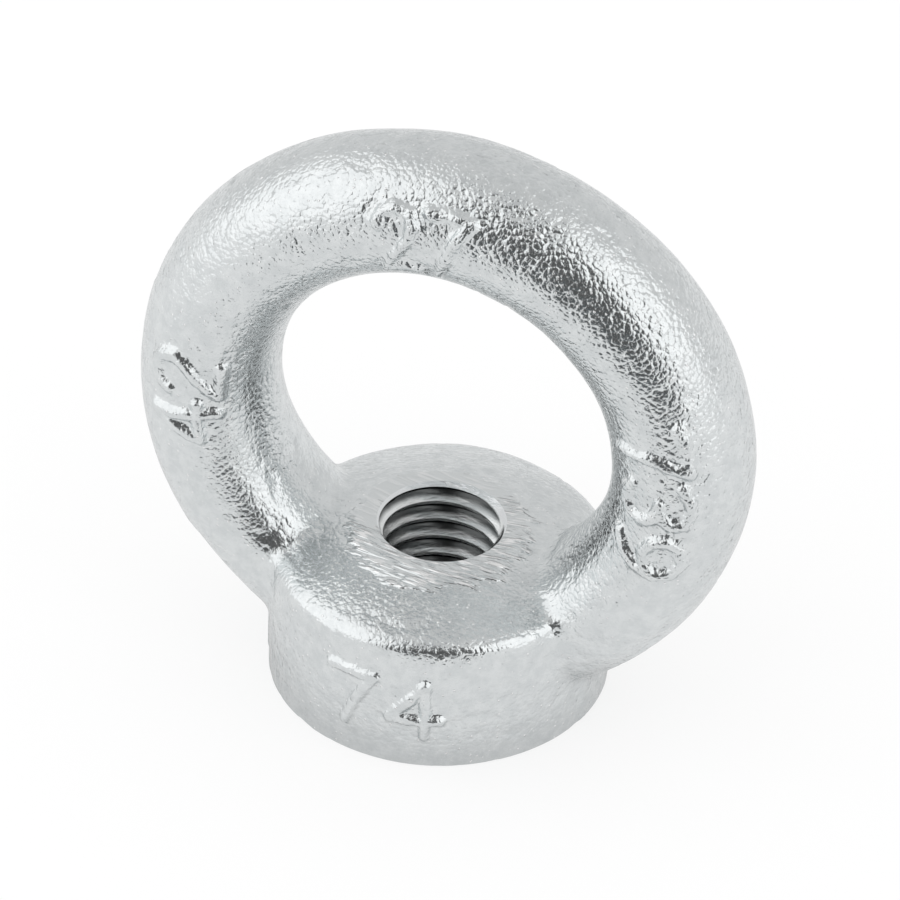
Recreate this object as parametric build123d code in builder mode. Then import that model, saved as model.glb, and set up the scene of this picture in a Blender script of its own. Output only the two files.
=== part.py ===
from build123d import *

import os
from math import acos, cos, degrees, radians, sin, sqrt

# Lifting eye nut, forged in one piece with a tapped hole through its collar.
#
# A ring of oval section stands upright on a round collar. The ring's section widens towards its feet, the
# feet run into the collar with forged fillets, and the collar has a low dome with a rounded shoulder. The
# machining that follows the forging is a flat bottom face, a flat milled spot on the dome, and the hole.
#
# Millimetres, +Z up along the hole's axis, X across the eye, Y through it. The origin is the centre of the
# collar's flat bottom face. The thread's ridges are not in the solid: the hole is as the tap drill leaves it.

# Ring. Its outside circle would touch the bottom face if it went on through the collar.
eye_diameter = 20.0            # clear width inside the ring
ring_thickness = 8.0           # the section, measured away from the eye's centre
crown_width = 8.4              # the section along Y at the top of the ring
foot_width = 10.3              # the section along Y where the ring ends inside the collar
foot_spread = 0.42             # how far outwards the section has moved at that end
foot_cover = 3.5               # collar left outside the ring's end
section_count = 15             # sections that the ring is lofted through

# Collar
collar_diameter = 20.0
collar_height = 10.05          # from the bottom face to the milled spot
dome_radius = 22.0
shoulder_radius = 1.6
foot_fillet = 1.2              # between the ring's feet and the collar

# Machining
thread_diameter = 8.0
thread_pitch = 1.25
spot_depth = 0.55              # how deep the spot is milled into the dome
spot_diameter = 13.8
spot_reach = 3.0               # how far above the spot its cutter cuts
top_edge_break = 0.2           # chamfer where the hole meets the spot
mouth_margin = 0.3             # how far the countersink underneath reaches past the thread
bottom_edge_break = 0.15       # chamfer round the bottom face

# Sizes that follow from those above
collar_radius = collar_diameter / 2
dome_height = collar_height + spot_depth
shoulder_height = dome_height - dome_radius + sqrt(dome_radius**2 - collar_radius**2)
hole_radius = (thread_diameter - thread_pitch) / 2
mouth_chamfer = thread_diameter / 2 + mouth_margin - hole_radius
ring_radius = (eye_diameter + ring_thickness) / 2
eye_height = eye_diameter / 2 + ring_thickness
foot_reach = ring_radius + foot_spread + ring_thickness / 2
foot_angle = degrees(acos((collar_radius - foot_cover) / foot_reach))


def foot_share(angle):
    """How far the ring has changed from crown (0) to foot (1), at an angle in degrees above the eye's centre."""
    return ((90.0 - angle) / (90.0 + foot_angle)) ** 2


def section_plane(side, angle):
    """The plane of the ring's section at an angle above the eye's centre, on the +X (1) or -X (-1) side."""
    radius = ring_radius + foot_spread * foot_share(angle)
    outwards = Vector(side * cos(radians(angle)), 0, sin(radians(angle)))
    along = Vector(-sin(radians(angle)), 0, side * cos(radians(angle)))
    return Plane(origin=Vector(0, 0, eye_height) + outwards * radius, x_dir=outwards, z_dir=along)


with BuildPart() as eye_nut:
    # Collar: flat bottom, straight side, rounded shoulder and domed top, turned about the hole's axis
    with BuildSketch(Plane.XZ) as collar_profile:
        with BuildLine():
            bottom = Line((0, 0), (collar_radius, 0))
            wall = Line(bottom @ 1, (collar_radius, shoulder_height))
            dome = RadiusArc(wall @ 1, (0, dome_height), -dome_radius)
            Line(dome @ 1, (0, 0))
        make_face()
        shoulder = collar_profile.vertices().group_by(Axis.X)[-1].sort_by(Axis.Y)[-1]
        fillet(shoulder, shoulder_radius)
    revolve(axis=Axis.Z)

    # Ring: lofted through oval sections from the buried foot on +X over the crown to the one on -X
    for index in range(section_count):
        turn = -foot_angle + (180.0 + 2 * foot_angle) * index / (section_count - 1)
        ring_side = 1 if turn <= 90.0 else -1
        height_angle = min(turn, 180.0 - turn)
        width = crown_width + (foot_width - crown_width) * foot_share(height_angle)
        with BuildSketch(section_plane(ring_side, height_angle)):
            Ellipse(ring_thickness / 2, width / 2)
    loft()
    fillet(eye_nut.edges(Select.NEW), foot_fillet)

    # Milled spot on the dome, and the hole down through it
    with BuildSketch(Plane.XY.offset(collar_height)):
        Circle(spot_diameter / 2)
    extrude(amount=spot_reach, mode=Mode.SUBTRACT)
    with Locations((0, 0, collar_height)):
        Hole(hole_radius, depth=collar_height)

    # Edge breaks: the hole's two rims and the rim of the bottom face
    hole_rims = eye_nut.edges().filter_by(GeomType.CIRCLE).group_by(SortBy.RADIUS)[0].sort_by(Axis.Z)
    chamfer(hole_rims[-1], top_edge_break)
    chamfer(hole_rims[0], mouth_chamfer)
    bottom_rims = eye_nut.edges().filter_by(GeomType.CIRCLE).group_by(Axis.Z)[0].sort_by(SortBy.RADIUS)
    chamfer(bottom_rims[-1], bottom_edge_break)

eye_nut.part.label = "eye_nut"

os.makedirs("parts", exist_ok=True)
export_step(eye_nut.part, "parts/eye_nut.step")
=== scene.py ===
from math import cos, pi, radians, sin, tan

import bmesh
import bpy
import numpy as np
from mathutils import Matrix, Vector, noise
from mathutils.bvhtree import BVHTree


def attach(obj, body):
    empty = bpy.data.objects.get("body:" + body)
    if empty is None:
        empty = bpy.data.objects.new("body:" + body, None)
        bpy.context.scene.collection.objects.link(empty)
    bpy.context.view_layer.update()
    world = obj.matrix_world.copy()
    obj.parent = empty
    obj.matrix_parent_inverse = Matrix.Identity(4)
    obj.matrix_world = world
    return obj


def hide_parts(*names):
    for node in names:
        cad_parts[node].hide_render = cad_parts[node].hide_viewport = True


# Looks of the lifting eye nut.
#
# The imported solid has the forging's main shape. Its mesh is copied, filled in where a tool cut it, remeshed
# finely and dressed as the forging is: uneven surface, pits, pads on the collar and raised numerals. Then
# the same cuts are made again: flat bottom, milled spot, countersunk rim and tapped hole, now with the
# ridges of the thread. The nut's lengths are in millimetres until the finished mesh is scaled to metres.
# The studio's lengths are in metres.

# Camera, fitted to the outlines in the photograph
camera_azimuth = 18.1332
camera_elevation = 37.4568
camera_roll = 1.8587
camera_distance = 0.350
camera_aim = Vector((0.0, 0.0, 0.018))
camera_side_shift = 0.0002608
camera_up_shift = -0.0022645
camera_lens = 248.16

# Forging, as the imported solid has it
eye_height = 18.0
collar_radius = 10.0
spot_height = 10.05
dome_radius = 22.0
dome_centre = -11.4

# Cuts, and the metal that is put back before they are made
spot_radius = 6.5
cutter_reach = 2.6             # how far above the spot its cutter cuts
bottom_round = 0.30
plug_radius = 7.4              # of the blank that fills the hole and what the spot's cutter took
plug_steps = 24                # rings of points in the blank's domed top
plug_foot = 0.8                # how high the blank is the collar's full width
plug_sink = 0.004              # how far the blank's top stays under the dome
stock_below = 1.2              # metal left under the bottom face until it is cut
cut_clearance = 2.0            # how far a cutter goes past the metal that it takes off

# Tapped hole, coarse thread of 8 mm
bore_radius = 3.375
thread_radius = 4.0
thread_pitch = 1.25
thread_profile = (             # share of one pitch upwards, share of the groove's depth there
    (0.0, 0.0), (0.15, 0.0), (0.20, 0.20), (0.27, 0.42), (0.34, 0.62), (0.42, 0.82), (0.51, 0.96),
    (0.60, 1.0), (0.68, 0.96), (0.79, 0.66), (0.90, 0.33))
thread_end_angle = 136.2       # where the thread's ridge runs out into the spot
thread_turns = 12
thread_steps = 72              # points in one turn
tap_point = 1.0                # how far the tap's pointed ends go past its ridges
thread_above = 9.05            # pitches from the tap's lowest ridge to the spot, less that angle's share
thread_fade = 0.36             # how much shallower the groove is where the countersink starts
thread_fade_heights = (0.9, 0.1)
mouth_radius = 4.3             # countersink in the bottom face
rim_radius = 3.76              # countersink in the spot
rim_depth = 0.30
rim_inside = 0.08              # the countersink's cone goes on this far into the bore
rim_outside, rim_above = 0.11, 0.09            # and this far out and up past the spot

# Material numbers of the surfaces, in the order in which the nut has its materials
forged_part, milled_part, tapped_part, rim_part = range(4)

# Mesh
mesh_size = 0.222
polish_rounds = 14
polish_in, polish_out = 0.5, -0.53
marks_margin = 0.8             # the finer mesh reaches this far around each row of numerals
corner_angle = radians(24)     # cut edges bent more than this are corners

# Uneven surface: size across in millimetres, depth in millimetres
waves = ((8.0, 0.05), (3.2, 0.010), (1.25, 0.006))
wave_lump = 0.6                # noise lumps are this share of a wave's size
wave_gain = 1.6
wave_sink = 0.55               # keeps the waves' crowns inside the solid
pit_size = 0.9
pit_depth = 0.05
pit_levels = (0.28, 0.55)      # noise from where a pit starts to its full depth
pad_half_width = 2.4           # low pads on the collar's left and right, under the ring's feet
pad_edge = 0.45
pad_depth = 0.14
pad_top = 7.3
pad_top_fade = 1.4
wall_band = (0.35, 0.1)        # inside the collar's radius, where its side starts

# Raised numerals
numeral_height = 0.29
numeral_half_width = 0.10      # flat top of the stroke
numeral_foot = 0.50            # from the stroke's middle to where its side ends
collar_crispness = 0.04        # taken off both ends of that slope on the collar
numeral_level, numeral_lumps = 0.95, 0.4       # the height's even share, and how uneven it is
lump_size = 1.1
ragged_size, ragged_reach = 0.7, 0.10          # how the strokes' edges wander
row_middle = 2.0               # a row's width on the ring is measured this far outside its foot
marks_front = -1.0             # numerals stand only where Y is less than this,
marks_facing = -0.2            # where the surface's normal has less than this along Y
collar_skin = 1.0              # and, on the collar, this close to its side
digit_width_drawn = 0.62       # width of the digits below, which are 1 high
numeral_shapes = {
    "2": [(0.02, 0.76), (0.10, 0.93), (0.30, 1.0), (0.51, 0.93), (0.59, 0.75), (0.52, 0.55), (0.28, 0.30),
          (0.0, 0.0), (0.62, 0.0)],
    "3": [(0.02, 0.88), (0.16, 0.98), (0.34, 1.0), (0.52, 0.92), (0.57, 0.75), (0.47, 0.59), (0.26, 0.53),
          (0.49, 0.46), (0.60, 0.27), (0.52, 0.08), (0.32, 0.0), (0.13, 0.02), (0.0, 0.13)],
    "4": [(0.45, 0.0), (0.45, 1.0), (0.0, 0.30), (0.64, 0.30)],
    "7": [(0.0, 1.0), (0.61, 1.0), (0.36, 0.48), (0.22, 0.0)],
    "9": [(0.58, 0.69), (0.50, 0.49), (0.29, 0.42), (0.08, 0.51), (0.01, 0.72), (0.10, 0.92), (0.30, 1.0),
          (0.50, 0.92), (0.59, 0.69), (0.57, 0.38), (0.44, 0.12), (0.18, 0.0)],
}
# Rows of numerals: digits, where, middle (degrees about the eye, or about the collar), height of the
# row's foot, height of a digit, width of the row
numeral_rows = (
    ("27", "ring", 91.5, 12.2, 3.8, 5.0),
    ("42", "ring", 179.8, 12.2, 3.8, 5.6),
    ("739", "ring", 0.7, 12.0, 3.85, 9.4),
    ("74", "collar", 0.0, 2.25, 3.6, 6.7),
)
gap_share = 0.24               # of a digit's cell left clear beside the digit


def mesh_from(name, points, faces, part=forged_part):
    """A mesh of points and faces, whose faces all have material number part."""
    mesh = bpy.data.meshes.new(name)
    mesh.from_pydata([tuple(p) for p in points], [], faces)
    mesh.polygons.foreach_set("material_index", [part] * len(mesh.polygons))
    mesh.update()
    return mesh


def add_object(mesh):
    made = bpy.data.objects.new(mesh.name, mesh)
    bpy.context.scene.collection.objects.link(made)
    return made


def points_of(mesh):
    flat = np.empty(len(mesh.vertices) * 3)
    mesh.vertices.foreach_get("co", flat)
    return flat.reshape(-1, 3)


def facing_out(mesh):
    """The same closed mesh, with all its faces turned outwards."""
    work = bmesh.new()
    work.from_mesh(mesh)
    bmesh.ops.recalc_face_normals(work, faces=work.faces)
    work.to_mesh(mesh)
    work.free()
    return mesh


def turned(name, profile, part=forged_part, segments=144):
    """A closed solid turned about Z from (radius, height) points, which start and end on the axis."""
    turns = [2 * pi * i / segments for i in range(segments)]
    points = [(0.0, 0.0, profile[0][1])]
    for radius, height in profile[1:-1]:
        points += [(radius * cos(a), radius * sin(a), height) for a in turns]
    points.append((0.0, 0.0, profile[-1][1]))
    last, rings = len(points) - 1, len(profile) - 2
    faces = []
    for i in range(segments):
        j = (i + 1) % segments
        faces.append((0, 1 + j, 1 + i))
        for ring in range(rings - 1):
            a, b = 1 + ring * segments, 1 + (ring + 1) * segments
            faces.append((a + i, a + j, b + j, b + i))
        top = 1 + (rings - 1) * segments
        faces.append((top + i, top + j, last))
    return facing_out(mesh_from(name, points, faces, part))


def evaluated(obj):
    """The object's mesh with its modifiers applied, as a new mesh."""
    graph = bpy.context.evaluated_depsgraph_get()
    return bpy.data.meshes.new_from_object(obj.evaluated_get(graph))


def noise_at(points, size, seed):
    """Smooth noise, mostly between -0.5 and 0.5, with lumps about size across."""
    shift = Vector((17.3, 5.1, 9.7)) * seed
    return np.array([noise.noise(Vector(p) / size + shift) for p in points])


def smooth_step(low, high, value):
    share = np.clip((value - low) / (high - low), 0.0, 1.0)
    return share * share * (3 - 2 * share)


def dome_z(radius):
    return dome_centre + (dome_radius**2 - radius**2) ** 0.5


# Forging before any machining
def filled_forging():
    """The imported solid's surface, with its hole plugged, its dome whole and stock left under it."""
    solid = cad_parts["eye_nut"].data
    points = points_of(solid) * 1000.0
    faces = [tuple(p.vertices) for p in solid.polygons]
    dome_steps = [plug_radius * (1 - i / plug_steps) for i in range(plug_steps)]
    profile = [(0.0, -stock_below), (collar_radius, -stock_below), (collar_radius, plug_foot),
               (plug_radius, plug_foot)]
    profile += [(r, dome_z(r) - plug_sink) for r in dome_steps] + [(0.0, dome_z(0.0) - plug_sink)]
    blank = turned("blank", profile)
    count = len(points)
    points = np.vstack([points, points_of(blank)])
    faces += [tuple(v + count for v in p.vertices) for p in blank.polygons]
    return mesh_from("forging", points, faces)


def remeshed(mesh):
    """An even mesh of the same surface, with its points on that surface."""
    faces = [tuple(p.vertices) for p in mesh.polygons]
    surface = BVHTree.FromPolygons([v.co for v in mesh.vertices], faces)
    rough = add_object(mesh)
    voxels = rough.modifiers.new("voxels", "REMESH")
    voxels.mode = "VOXEL"
    voxels.voxel_size = mesh_size
    even = evaluated(rough)
    bpy.data.objects.remove(rough)
    for vertex in even.vertices:
        place, _, _, gap = surface.find_nearest(vertex.co)
        if gap < mesh_size:
            vertex.co = place
    return even


def row_place(row, points):
    """Where points lie in a row of numerals: along the row and up its digits, both in millimetres."""
    _, where, middle, foot, _, width = row
    x, y, z = points.T
    if where == "ring":
        turn = (np.degrees(np.arctan2(z - eye_height, x)) - middle + 180.0) % 360.0 - 180.0
        reach = np.hypot(x, z - eye_height)
        along = -np.radians(turn) * (foot + row_middle)
        up = reach - foot
    else:
        along = np.arctan2(x, -y) * collar_radius
        up = z - foot
    return along + width / 2, up


def near_row(row, points, margin):
    along, up = row_place(row, points)
    _, where, _, _, height, width = row
    near = (along > -margin) & (along < width + margin) & (up > -margin) & (up < height + margin)
    near &= points[:, 1] < marks_front
    if where == "collar":
        near &= np.hypot(points[:, 0], points[:, 1]) > collar_radius - collar_skin
    return near


def refine_marks(mesh):
    """Halves the mesh where numerals will stand."""
    work = bmesh.new()
    work.from_mesh(mesh)
    middles = np.array([(e.verts[0].co + e.verts[1].co) / 2 for e in work.edges])
    chosen = np.zeros(len(middles), bool)
    for row in numeral_rows:
        chosen |= near_row(row, middles, marks_margin)
    work.edges.ensure_lookup_table()
    edges = [work.edges[i] for i in np.flatnonzero(chosen)]
    bmesh.ops.subdivide_edges(work, edges=edges, cuts=1, use_grid_fill=True)
    bmesh.ops.triangulate(work, faces=work.faces)
    work.to_mesh(mesh)
    work.free()
    return mesh


def polish(mesh, rounds):
    """Takes out the facets without shrinking the shape, by smoothing one way and back."""
    points = points_of(mesh)
    ends = np.empty(len(mesh.edges) * 2, int)
    mesh.edges.foreach_get("vertices", ends)
    a, b = ends.reshape(-1, 2).T
    joined = np.bincount(a, minlength=len(points)) + np.bincount(b, minlength=len(points))
    for step in range(rounds * 2):
        weight = polish_in if step % 2 == 0 else polish_out
        for axis in range(3):
            value = points[:, axis]
            total = np.bincount(a, value[b], len(points)) + np.bincount(b, value[a], len(points))
            points[:, axis] = value + weight * (total / joined - value)
    mesh.vertices.foreach_set("co", points.ravel())
    mesh.update()
    return mesh


def stroke_distance(shape, along, up):
    """Distance from each point to a digit's stroke."""
    best = np.full(len(along), 1e3)
    for (x0, y0), (x1, y1) in zip(shape, shape[1:]):
        dx, dy = x1 - x0, y1 - y0
        share = np.clip(((along - x0) * dx + (up - y0) * dy) / (dx * dx + dy * dy), 0, 1)
        best = np.minimum(best, np.hypot(along - x0 - share * dx, up - y0 - share * dy))
    return best


def numerals_rise(points, normals):
    """How far the numerals lift each point, lumpy and worn as forged marks are."""
    rise = np.zeros(len(points))
    for row in numeral_rows:
        digits, where, _, _, height, width = row
        near = np.flatnonzero(near_row(row, points, marks_margin) & (normals[:, 1] < marks_facing))
        spots = points[near]
        along, up = row_place(row, spots)
        lump = noise_at(spots, lump_size, 3)
        ragged = ragged_reach * noise_at(spots, ragged_size, 4)
        cell = width / (len(digits) - gap_share)
        digit_width = cell * (1 - gap_share)
        distance = np.full(len(near), 1e3)
        for place, digit in enumerate(digits):
            shape = [(place * cell + x / digit_width_drawn * digit_width, y * height)
                     for x, y in numeral_shapes[digit]]
            distance = np.minimum(distance, stroke_distance(shape, along, up))
        crisp = collar_crispness if where == "collar" else 0.0
        inner = 1 - smooth_step(numeral_half_width + crisp, numeral_foot - crisp, distance + ragged)
        rise[near] = np.maximum(rise[near], numeral_height * inner * (numeral_level + numeral_lumps * lump))
    return rise


def dressed(mesh):
    """Displaces the even mesh into the forging's own uneven surface."""
    points = points_of(mesh)
    normals = np.empty(len(points) * 3)
    mesh.vertex_normals.foreach_get("vector", normals)
    normals = normals.reshape(-1, 3)
    lift = np.zeros(len(points))
    for seed, (size, depth) in enumerate(waves):
        lift += depth * (noise_at(points, size * wave_lump, 10 + seed) * wave_gain - wave_sink)
    pits = noise_at(points, pit_size, 5)
    lift -= pit_depth * smooth_step(*pit_levels, pits)
    radius = np.hypot(points[:, 0], points[:, 1])
    wall = smooth_step(collar_radius - wall_band[0], collar_radius - wall_band[1], radius)
    wall = wall * (1 - smooth_step(pad_top, pad_top + pad_top_fade, points[:, 2]))
    beside = smooth_step(pad_half_width, pad_half_width + pad_edge, np.abs(points[:, 1]))
    lift -= pad_depth * wall * beside
    lift += numerals_rise(points, normals)
    points += normals * lift[:, None]
    points[:, 1] = np.maximum(points[:, 1], -collar_radius)
    mesh.vertices.foreach_set("co", points.ravel())
    mesh.update()
    return mesh


def tap():
    """The tap's body: a core at the bore's radius with the thread's ridge wound round it, right-hand."""
    steps, per_pitch = thread_steps, len(thread_profile)
    rows = per_pitch * thread_turns
    start = spot_height - thread_pitch * (thread_above + thread_end_angle / 360)
    fade_start, fade_end = (spot_height - below for below in thread_fade_heights)
    points = []
    for row in range(rows):
        share, depth = thread_profile[row % per_pitch]
        for step in range(steps):
            angle = 2 * pi * step / steps
            z = start + thread_pitch * (row // per_pitch + step / steps + share)
            fade = float(1 - thread_fade * smooth_step(fade_start, fade_end, z))
            radius = bore_radius + (thread_radius - bore_radius) * depth * fade
            points.append((radius * cos(angle), radius * sin(angle), z))
    faces = []
    for row in range(rows - 1):
        for step in range(steps - 1):
            low = row * steps + step
            faces.append((low, low + 1, low + 1 + steps, low + steps))
        if row + per_pitch + 1 < rows:
            low, over = row * steps + steps - 1, (row + per_pitch) * steps
            faces.append((low, over, over + steps, low + steps))
    below = list(range(steps)) + [row * steps for row in range(per_pitch, 0, -1)]
    above = [(rows - 1) * steps + step for step in range(steps)]
    above += [row * steps + steps - 1 for row in range(rows - 2, rows - 2 - per_pitch, -1)]
    end = start + thread_pitch * (thread_turns + 1)
    for loop, height in ((below, start - tap_point), (above, end + tap_point)):
        centre = len(points)
        points.append((0.0, 0.0, height))
        faces += [(loop[i], loop[(i + 1) % len(loop)], centre) for i in range(len(loop))]
    return facing_out(mesh_from("tap", points, faces, tapped_part))


def cut(obj, cutter_mesh):
    """Takes the cutter's volume off the object, and leaves the cutter's material on the new faces."""
    for material in obj.data.materials:
        cutter_mesh.materials.append(material)
    cutter = add_object(cutter_mesh)
    knife = obj.modifiers.new("cut", "BOOLEAN")
    knife.operation = "DIFFERENCE"
    knife.solver = "MANIFOLD"
    knife.object = cutter
    obj.data = evaluated(obj)
    obj.modifiers.clear()
    bpy.data.objects.remove(cutter)


def bottom_cutter():
    """What is turned off underneath: the stock, the rounded rim and the countersink of the hole."""
    away = collar_radius + 2 * cut_clearance
    lowest = -stock_below - cut_clearance
    rounding = [radians(15.0 * i) for i in range(7)]
    edge = [(collar_radius - bottom_round * (1 - sin(a)), bottom_round * (1 - cos(a))) for a in rounding]
    return turned("bottom", [(0.0, mouth_radius), (mouth_radius, 0.0)] + edge + [
        (away, bottom_round), (away, lowest), (0.0, lowest)], milled_part)


def spot_cutter():
    top = spot_height + cutter_reach
    return turned("spot", [(0.0, spot_height), (spot_radius, spot_height), (spot_radius, top), (0.0, top)],
                  milled_part)


def rim_cutter():
    low, high = spot_height - rim_depth, spot_height + rim_above
    return turned("rim", [(0.0, low), (bore_radius - rim_inside, low), (rim_radius + rim_outside, high),
                          (0.0, high)], rim_part)


def mark_sharp(mesh):
    """Smooth shading, with sharp edges where one kind of surface meets another and on cut corners."""
    mesh.shade_smooth()
    work = bmesh.new()
    work.from_mesh(mesh)
    for edge in work.edges:
        if len(edge.link_faces) == 2:
            kinds = {f.material_index for f in edge.link_faces}
            gentle = len(kinds) == 1 and edge.calc_face_angle() < corner_angle
            edge.smooth = kinds == {forged_part} or gentle
    work.to_mesh(mesh)
    work.free()


# Materials
class Nodes:
    """A short way to write a material's nodes."""

    def __init__(self, name):
        self.material = bpy.data.materials.new(name)
        self.material.use_nodes = True
        self.tree = self.material.node_tree
        self.tree.nodes.clear()

    def add(self, kind, inputs=(), **settings):
        node = self.tree.nodes.new("ShaderNode" + kind)
        for key, value in settings.items():
            setattr(node, key, value)
        for key, value in dict(inputs).items():
            if isinstance(value, bpy.types.NodeSocket):
                self.tree.links.new(value, node.inputs[key])
            else:
                node.inputs[key].default_value = value
        return node

    def math(self, operation, *values):
        return self.add("Math", dict(enumerate(values)), operation=operation).outputs[0]

    def noise(self, vector, scale, detail=2.0, roughness=0.5):
        node = self.add("TexNoise", {"Vector": vector, "Scale": scale, "Detail": detail,
                                     "Roughness": roughness})
        return node.outputs["Fac"]

    def span(self, value, low, high, to_low=0.0, to_high=1.0):
        node = self.add("MapRange", {"Value": value, "From Min": low, "From Max": high,
                                     "To Min": to_low, "To Max": to_high}, interpolation_type="SMOOTHSTEP")
        return node.outputs["Result"]

    def mix(self, share, first, second):
        return self.add("Mix", {"Factor": share, "A": first, "B": second}).outputs["Result"]

    def mix_colours(self, share, first, second):
        node = self.add("Mix", {"Factor": share, "A": first, "B": second}, data_type="RGBA")
        return node.outputs["Result"]

    def position(self):
        return self.add("TexCoord").outputs["Object"]

    def millimetres(self):
        return self.scaled(self.position(), 1000.0)

    def scaled(self, vector, scale):
        return self.add("VectorMath", {0: vector, "Scale": scale}, operation="SCALE").outputs[0]

    def stretched(self, vector, scale):
        return self.add("VectorMath", {0: vector, 1: scale}, operation="MULTIPLY").outputs[0]

    def moved(self, vector, shift):
        return self.add("VectorMath", {0: vector, 1: shift}, operation="ADD").outputs[0]

    def length(self, vector):
        return self.add("VectorMath", {0: vector}, operation="LENGTH").outputs["Value"]

    def parts(self, vector):
        return self.add("SeparateXYZ", {0: vector}).outputs

    def surface(self, shader):
        self.add("OutputMaterial", {"Surface": shader.outputs[0]})
        return self.material

    def glow(self, colour, strength):
        return self.add("Emission", {"Color": colour, "Strength": strength})

    def zinc(self, colour, roughness, height, depth):
        """Bare plated metal, dented by a height whose unit is depth in metres."""
        bump = self.add("Bump", {"Height": height, "Strength": 1.0, "Distance": depth})
        return self.surface(self.add("BsdfPrincipled", {
            "Base Color": colour, "Metallic": 1.0, "Roughness": roughness, "Normal": bump.outputs[0]}))


white = (1.0, 1.0, 1.0, 1.0)
forged_dull = (0.70, 0.728, 0.736, 1.0)
forged_bright = (0.785, 0.81, 0.815, 1.0)
zinc_colour = (0.735, 0.76, 0.765, 1.0)
painted_highlight_colour = (0.96, 0.96, 0.96, 1.0)       # painted highlights on the crowns of the cutter's marks, and painted glints on specks
rim_colour = (0.86, 0.88, 0.89, 1.0)
lit_thread_colour = (0.90, 0.92, 0.92, 1.0)     # the thread's crests and flanks, painted light as lit metal
shaded_root_colour = (0.10, 0.105, 0.105, 1.0)    # its roots, painted dark as the shade in the grooves
zinc_roughness = 0.2
tapped_roughness = 0.22
rim_roughness = 0.26

# The forging's coat. Scales are lumps per millimetre, heights are in millimetres.
tint_scale = 1.1
tint_span = (0.32, 0.68)
wander_scale, wander_reach = 3.4, 0.16     # bends the cells of the pebbles
pebble_scale = 3.6
uneven_scale, uneven_share = 3.0, 0.4
pebble_low, pebble_high = 0.031, 0.051     # pebbles rise from the left foot towards the right of the crown
pebble_span = (18.0, 32.0)
pebble_lean = 0.45
pebble_wander_scale, pebble_wander = 0.35, 12.0
fine_scale, fine_height = 6.5, 0.023
speck_scale = 3.2
speck_rarity = 0.78
speck_size = (0.10, 0.26)
speck_height = 0.020

# The cutter's marks in and round the spot
mark_lean, mark_bow = 0.116, -0.0272       # the arcs' slope, and how they bend, per millimetre
mark_along, mark_across = 0.62, 4.0
mark_height = 0.26
crown_span = (0.55, 0.61)
patch_scale = (0.28, 0.5, 1.0)
patch_lean, patch_tilt = 0.6, 0.045        # the marks are fainter towards the back
patch_span = (0.36, 0.58)
patch_least = 0.25
overrun_middle = (-0.1, 0.6, -spot_height)
overrun_scale, overrun_wander = (0.5, 1.8, 1.0), 2.4
overrun_span = (6.1, 6.7)

# The tap's and the countersink's marks
tap_mark_scale, tap_mark_depth = (1.0, 1.0, 7.0), 0.00002
rim_mark_scale, rim_mark_depth = (1.5, 1.5, 5.0), 0.00006
root_scale, root_wander = 1.2, 0.12
root_span = (bore_radius + 0.17, bore_radius + 0.52)
painted_shade_heights = (1.0, 6.0)                    # painted shade at the hole's lower end: where it is darkest and where it fades out, and how dark it gets
painted_shade_share = 0.7


def grain_height(n, place):
    """The plated forging's grain: pebbles about 0.3 mm across on uneven metal, and a finer grit."""
    wander = n.add("TexNoise", {"Vector": place, "Scale": wander_scale, "Detail": 1.0}).outputs["Color"]
    moved = n.moved(place, n.scaled(wander, wander_reach))
    cells = n.add("TexVoronoi", {"Vector": moved, "Scale": pebble_scale}, feature="F1")
    pebbles = n.math("POWER", cells.outputs["Distance"], 2.0)
    uneven = n.noise(place, uneven_scale, 1.0, 0.4)
    grain = n.math("SUBTRACT", n.math("MULTIPLY", uneven, uneven_share), pebbles)
    x, _, z = n.parts(place)
    where = n.math("ADD", n.math("ADD", z, n.math("MULTIPLY", x, pebble_lean)),
                   n.math("MULTIPLY", n.noise(place, pebble_wander_scale, 1.0), pebble_wander))
    pebbled = n.math("MULTIPLY", grain, n.span(where, *pebble_span, pebble_low, pebble_high))
    return n.math("ADD", pebbled, n.math("MULTIPLY", n.noise(place, fine_scale, 1.0, 0.5), fine_height))


def cutter_marks(n, place):
    """Height and painted highlights of the cutter's marks in the spot, shallow arcs that run across the hole.
    """
    x, y, _ = n.parts(place)
    bow = n.math("MULTIPLY", n.math("MULTIPLY", x, x), mark_bow)
    across = n.math("ADD", n.math("ADD", y, n.math("MULTIPLY", x, mark_lean)), bow)
    lined = n.add("CombineXYZ", {0: n.math("MULTIPLY", x, mark_along),
                                 1: n.math("MULTIPLY", across, mark_across)}).outputs[0]
    marks = n.noise(lined, 1.0, 1.0, 0.35)
    backwards = n.math("SUBTRACT", y, n.math("MULTIPLY", x, patch_lean))
    patches = n.math("SUBTRACT", n.noise(n.stretched(place, patch_scale), 1.0, 1.0),
                     n.math("MULTIPLY", backwards, patch_tilt))
    patches = n.span(patches, *patch_span, patch_least, 1.0)
    # the marks' crowns are painted light, as highlights
    crown_highlights = n.math("MULTIPLY", n.span(marks, *crown_span), patches)
    return n.math("MULTIPLY", n.math("MULTIPLY", marks, mark_height), patches), crown_highlights


def near_spot(n, place):
    """1 where the cutter ran over the dome, fading out raggedly into the forged surface."""
    away = n.length(n.moved(place, overrun_middle))
    ragged = n.math("MULTIPLY", n.noise(n.stretched(place, overrun_scale), 1.0, 2.0), overrun_wander)
    return n.span(n.math("ADD", away, ragged), *overrun_span, 1.0, 0.0)


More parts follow.
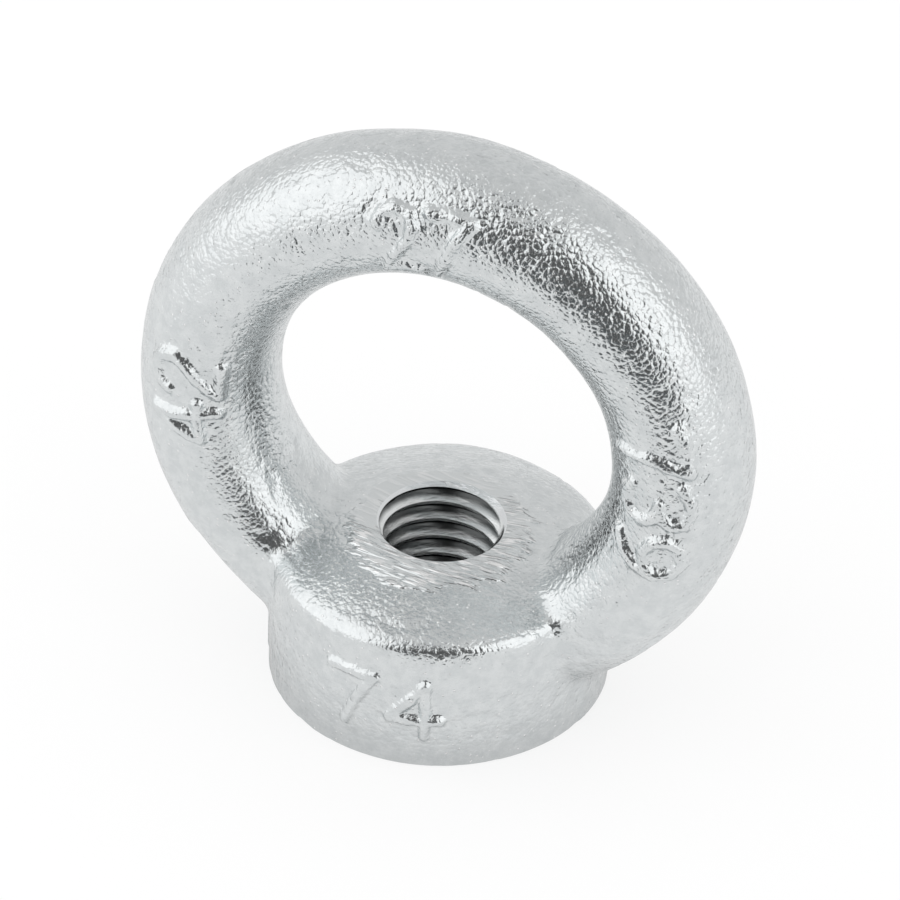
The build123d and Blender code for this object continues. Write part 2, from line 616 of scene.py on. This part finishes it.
def forged_zinc():
    n = Nodes("forged_zinc")
    place = n.millimetres()
    cut_here = near_spot(n, place)
    marks, crown_highlights = cutter_marks(n, place)
    tint = n.span(n.noise(place, tint_scale, 4.0, 0.7), *tint_span)
    # specks: raised a little as bumps, and painted light as glints
    specks = n.add("TexVoronoi", {"Vector": place, "Scale": speck_scale}, feature="F1")
    draw = n.add("SeparateColor", {0: specks.outputs["Color"]}).outputs[0]
    speck = n.math("MULTIPLY", n.math("GREATER_THAN", draw, speck_rarity),
                   n.span(specks.outputs["Distance"], *speck_size, 1.0, 0.0))
    grain = n.math("ADD", grain_height(n, place), n.math("MULTIPLY", speck, speck_height))
    # painted highlights on the cutter's crowns and painted glints on the specks
    painted_glints = n.math("MAXIMUM", n.math("MULTIPLY", crown_highlights, cut_here), speck)
    colour = n.mix_colours(painted_glints, n.mix_colours(tint, forged_dull, forged_bright), painted_highlight_colour)
    return n.zinc(colour, zinc_roughness, n.mix(cut_here, grain, marks), 0.001)


def milled_zinc():
    n = Nodes("milled_zinc")
    marks, crown_highlights = cutter_marks(n, n.millimetres())
    # the crowns of the cutter's marks are painted light, as highlights
    return n.zinc(n.mix_colours(crown_highlights, zinc_colour, painted_highlight_colour), zinc_roughness, marks, 0.001)


def tapped_zinc():
    n = Nodes("tapped_zinc")
    place = n.millimetres()
    drawn = n.noise(n.stretched(place, tap_mark_scale), 1.0, 3.0, 0.6)
    out = n.math("ADD", n.length(n.stretched(place, (1, 1, 0))),
                 n.math("MULTIPLY", n.noise(place, root_scale, 2.0), root_wander))
    # painted shade, darker towards the hole's lower end
    low = n.span(n.parts(place)[2], *painted_shade_heights, painted_shade_share, 0.0)
    # painted shade: the thread's roots are painted dark
    root = n.math("MAXIMUM", n.span(out, *root_span), low)
    return n.zinc(n.mix_colours(root, lit_thread_colour, shaded_root_colour), tapped_roughness, drawn, tap_mark_depth)


def rim_zinc():
    n = Nodes("rim_zinc")
    marks = n.noise(n.stretched(n.millimetres(), rim_mark_scale), 1.0, 2.0)
    return n.zinc(rim_colour, rim_roughness, marks, rim_mark_depth)


# Build
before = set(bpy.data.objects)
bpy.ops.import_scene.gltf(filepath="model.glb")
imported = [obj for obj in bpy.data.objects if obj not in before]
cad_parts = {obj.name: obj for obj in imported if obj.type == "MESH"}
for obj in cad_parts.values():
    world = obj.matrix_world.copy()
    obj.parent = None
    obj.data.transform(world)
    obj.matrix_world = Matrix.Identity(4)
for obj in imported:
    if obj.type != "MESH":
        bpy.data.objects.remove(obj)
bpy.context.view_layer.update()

nut = add_object(dressed(polish(refine_marks(remeshed(filled_forging())), polish_rounds)))
nut.name = "eye_nut_forging"
for material in (forged_zinc(), milled_zinc(), tapped_zinc(), rim_zinc()):
    nut.data.materials.append(material)
for cutter in (bottom_cutter(), spot_cutter(), rim_cutter(), tap()):
    cut(nut, cutter)
mark_sharp(nut.data)
nut.data.transform(Matrix.Scale(0.001, 4))
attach(nut, "root")
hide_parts("eye_nut")


# Studio
room_radius = 0.8
room_side, room_top = 0.73, 0.65           # how bright the room is at the sides and overhead
room_top_span = (0.66, 0.92)               # heights of a direction, 0 level and 1 straight up
gap_level = 0.10                           # the dark gap between the lamps, where the photographer stood
gap_edges = ((-9.0, -5.0), (40.5, 44.5))   # its soft left and right edges, in degrees
gap_narrowing = (9.0, 16.0)                # how far they close in towards the top
gap_narrowing_span = (0.34, 0.94)
gap_top = (0.885, 0.960)
table_turns = (-7.5, 42.5)                 # the dark side of the table under that gap
table_near = 0.075
table_height = 0.0005
table_colour = (0.11, 0.12, 0.125, 1.0)
floor_side = 1.5
floor_colour = (0.9, 0.9, 0.9, 1.0)
floor_white_share = 0.75                   # how much of the floor's shadow the white leaves out
painted_shadow_near = (0.0095, 0.0145)              # from the nut's foot outwards, where reflections see a painted shadow
painted_shadow_far = (0.0145, 0.07)
painted_shadow_levels = (0.66, 0.86, 0.04)          # the painted shadow's level at the foot and nearby, and what is added further off
foot_edge = (0.0095, 0.0099)


def direction(turn, lift):
    """Unit vector at a turn from the front towards +X and a lift above level, both in degrees."""
    a, e = radians(turn), radians(lift)
    return Vector((sin(a) * cos(e), -cos(a) * cos(e), sin(e)))


def softbox(name, turn, lift, wide, high, radiance, distance=0.6):
    """A rectangular lamp that fills the given angles as seen from the object."""
    lamp = bpy.data.lights.new(name, "AREA")
    lamp.shape = "RECTANGLE"
    lamp.size = 2 * distance * tan(radians(wide / 2))
    lamp.size_y = 2 * distance * tan(radians(high / 2))
    lamp.energy = radiance * pi * lamp.size * lamp.size_y
    made = bpy.data.objects.new(name, lamp)
    way = direction(turn, lift)
    made.location = camera_aim + way * distance
    made.rotation_euler = way.to_track_quat("Z", "Y").to_euler()
    bpy.context.scene.collection.objects.link(made)


def only_reflected(obj):
    obj.visible_camera = False
    obj.visible_diffuse = False
    obj.visible_shadow = False
    obj.visible_transmission = False
    return obj


def room():
    """The studio behind the lamps, in reflections: pale, dimmer overhead, dark where the camera stood."""
    rises = [radians(90 * i / 18) for i in range(19)]
    profile = [(0.0, 0.0)] + [(room_radius * cos(a), room_radius * sin(a)) for a in rises[:-1]]
    bowl = turned("room", profile + [(0.0, room_radius)], segments=72)
    work = bmesh.new()
    work.from_mesh(bowl)
    bottom = [f for f in work.faces if f.calc_center_median().z < 0.001]
    bmesh.ops.delete(work, geom=bottom, context="FACES")
    work.to_mesh(bowl)
    work.free()
    made = add_object(bowl)
    n = Nodes("studio_room")
    x, y, z = n.parts(n.add("VectorMath", {0: n.position()}, operation="NORMALIZE").outputs[0])
    turn = n.math("ARCTAN2", x, n.math("MULTIPLY", y, -1.0))
    narrowing = n.span(z, *gap_narrowing_span)
    from_left = n.math("SUBTRACT", turn, n.math("MULTIPLY", narrowing, radians(gap_narrowing[0])))
    from_right = n.math("ADD", turn, n.math("MULTIPLY", narrowing, radians(gap_narrowing[1])))
    left, right = ([radians(angle) for angle in edge] for edge in gap_edges)
    gap = n.math("MULTIPLY", n.span(from_left, *left), n.span(from_right, *right, 1.0, 0.0))
    gap = n.math("MULTIPLY", gap, n.span(z, *gap_top, 1.0, 0.0))
    level = n.mix(gap, n.span(z, *room_top_span, room_side, room_top), gap_level)
    made.data.materials.append(n.surface(n.glow(white, level)))
    return only_reflected(made)


def dark_table():
    """The photographer's side of the table, in front of the object."""
    left, right = table_turns
    corners = ((left, table_near), (right, table_near), (right, room_radius), (left, room_radius))
    edges = [direction(turn, 0) * reach + Vector((0, 0, table_height)) for turn, reach in corners]
    made = add_object(mesh_from("dark_strip", edges, [(0, 1, 2, 3)]))
    n = Nodes("dark_table")
    made.data.materials.append(n.surface(n.glow(table_colour, 1.0)))
    return only_reflected(made)


def floor():
    """A pale floor that shows white, keeps the nut's shadow, and has a painted shadow round its foot in
    reflections.
    """
    corners = [(x * floor_side, y * floor_side, 0) for x, y in ((-1, -1), (1, -1), (1, 1), (-1, 1))]
    made = add_object(mesh_from("floor", corners, [(0, 1, 2, 3)]))
    n = Nodes("pale_floor")
    plain = n.add("BsdfDiffuse", {"Color": floor_colour})
    path = n.add("LightPath").outputs
    gloss = path["Is Glossy Ray"]
    away = n.length(n.position())
    seen = n.math("MAXIMUM", path["Is Camera Ray"], path["Is Transmission Ray"])
    seen = n.math("MAXIMUM", n.math("MULTIPLY", seen, floor_white_share), gloss)
    at_foot, nearby, further = painted_shadow_levels
    # painted shadow: the floor's glow in reflections is dimmer near the nut's foot
    painted_foot_shadow = n.span(away, *painted_shadow_near, at_foot, nearby)
    painted_shadow_glow = n.math("ADD", painted_foot_shadow, n.span(away, *painted_shadow_far, 0.0, further))
    shine = n.glow(white, n.mix(gloss, 1.0, painted_shadow_glow))
    made.data.materials.append(n.surface(n.add("MixShader", {
        0: n.math("MULTIPLY", seen, n.span(away, *foot_edge)), 1: plain.outputs[0], 2: shine.outputs[0]})))
    return made


softbox("left_softbox", turn=-59.0, lift=33.0, wide=72.0, high=76.0, radiance=0.47)
softbox("right_softbox", turn=71.0, lift=29.0, wide=46.0, high=62.0, radiance=0.50)
room()
dark_table()
floor()

world = bpy.data.worlds.new("studio")
bpy.context.scene.world = world
world.use_nodes = True
world.node_tree.nodes.clear()
backdrop = world.node_tree.nodes.new("ShaderNodeBackground")
backdrop.inputs["Color"].default_value = white
backdrop.inputs["Strength"].default_value = 1.0
world_output = world.node_tree.nodes.new("ShaderNodeOutputWorld")
world.node_tree.links.new(backdrop.outputs[0], world_output.inputs[0])

# Camera
back_way = direction(camera_azimuth, camera_elevation)
side_way = Vector((cos(radians(camera_azimuth)), sin(radians(camera_azimuth)), 0.0))
up_way = back_way.cross(side_way)
roll = radians(camera_roll)
right_way = cos(roll) * side_way + sin(roll) * up_way
top_way = -sin(roll) * side_way + cos(roll) * up_way
camera = bpy.data.objects.new("camera", bpy.data.cameras.new("camera"))
camera.data.lens = camera_lens
camera.data.sensor_width = 36.0
camera.data.clip_start = 0.01
camera.matrix_world = Matrix((right_way, top_way, back_way)).transposed().to_4x4()
camera.location = (camera_aim + back_way * camera_distance + right_way * camera_side_shift
                   + top_way * camera_up_shift)
bpy.context.scene.collection.objects.link(camera)
bpy.context.scene.camera = camera
bpy.context.scene.view_settings.view_transform = "Standard"

print("triangles", sum(len(p.vertices) - 2 for p in nut.data.polygons))
